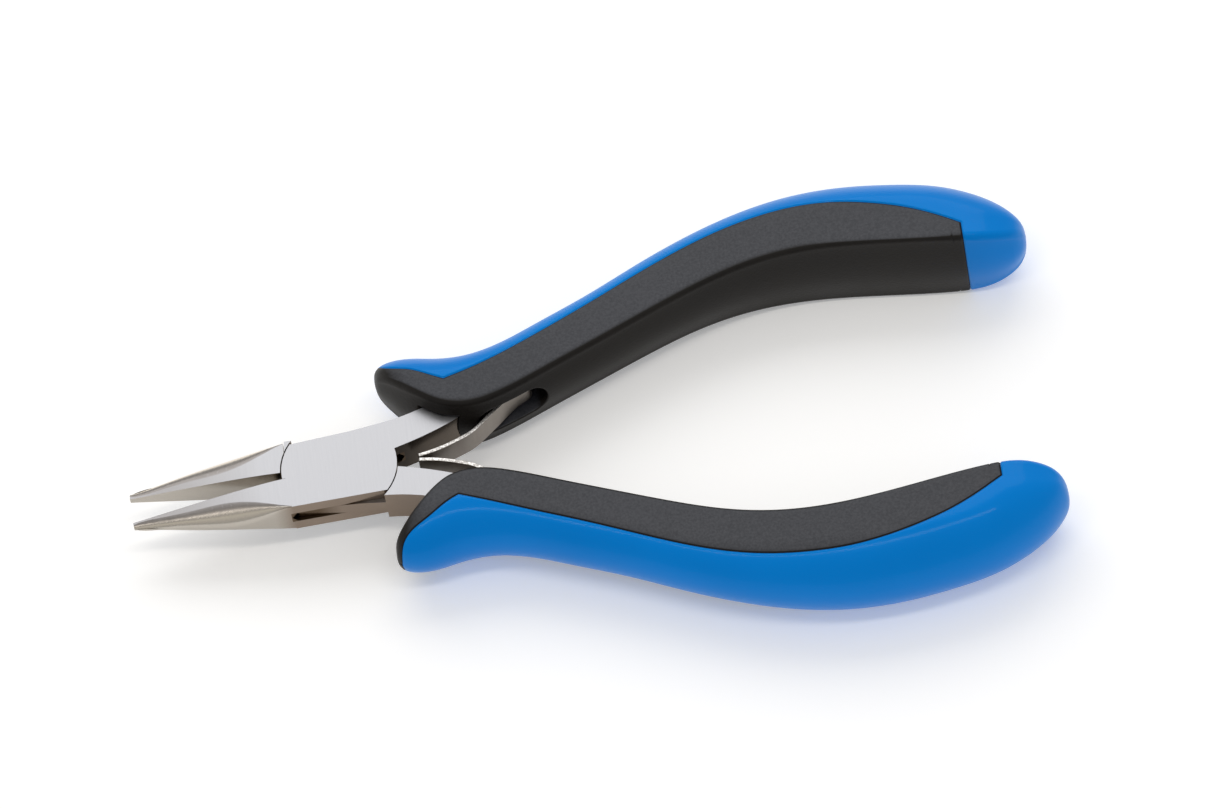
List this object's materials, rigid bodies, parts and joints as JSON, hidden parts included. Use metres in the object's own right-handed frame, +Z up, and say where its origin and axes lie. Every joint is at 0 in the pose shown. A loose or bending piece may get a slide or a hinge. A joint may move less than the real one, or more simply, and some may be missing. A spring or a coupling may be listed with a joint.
{
  "type": "chain nose pliers",
  "caption": "Small box-joint jewellery pliers with smooth tapering chain-nose jaws, twin leaf springs that hold them open, and curved two-colour soft grips.",
  "frame": {"origin": "centre of the footprint, on the surface that the grips' undersides rest on", "axes": "+X from the jaw tips to the grip ends along the line midway between the two halves, +Z up along the joint's pivot, +Y towards the outer half's grip"},
  "size_m": [0.1386, 0.0726, 0.0152],
  "materials": {
    "steel": "finely ground flat faces, polished rounded jaws",
    "spring_steel": "tempered strip with bright sheared edges",
    "blue_shell": "moulded, semi-gloss",
    "black_inlay": "moulded soft inlay, fine matte grain"
  },
  "bodies": {
    "outer_body": {"outer_half": "steel", "pivot_pin": "steel", "upper_spring_pin": "steel", "upper_grip_shell": "blue_shell", "upper_grip_inlay": "black_inlay"},
    "inner_body": {"inner_half": "steel", "lower_spring_pin": "steel", "lower_grip_shell": "blue_shell", "lower_grip_inlay": "black_inlay"},
    "upper_leaf": {"upper_leaf_spring": "spring_steel"},
    "lower_leaf": {"lower_leaf_spring": "spring_steel"}
  },
  "joints": [
    {"name": "box_joint", "type": "hinge", "parent": "outer_body", "child": "inner_body", "pos_m": [-0.03747, 0, 0.0076], "axis": [0, 0, -1], "range_deg": [-7.65, 11], "stiffness_Nm_per_rad": 1.2},
    {"name": "upper_leaf_flex", "type": "hinge", "parent": "outer_body", "child": "upper_leaf", "pos_m": [-0.00881, 0.01097, 0.0076], "axis": [0, 0, 1], "range_deg": [-2.65, 3.75]},
    {"name": "lower_leaf_flex", "type": "hinge", "parent": "inner_body", "child": "lower_leaf", "pos_m": [-0.00881, -0.01097, 0.0076], "axis": [0, 0, -1], "range_deg": [-2.65, 3.75]}
  ],
  "couplings": [
    {"joint": "upper_leaf_flex", "follows": "box_joint", "ratio": 0.34},
    {"joint": "lower_leaf_flex", "follows": "box_joint", "ratio": 0.34}
  ]
}
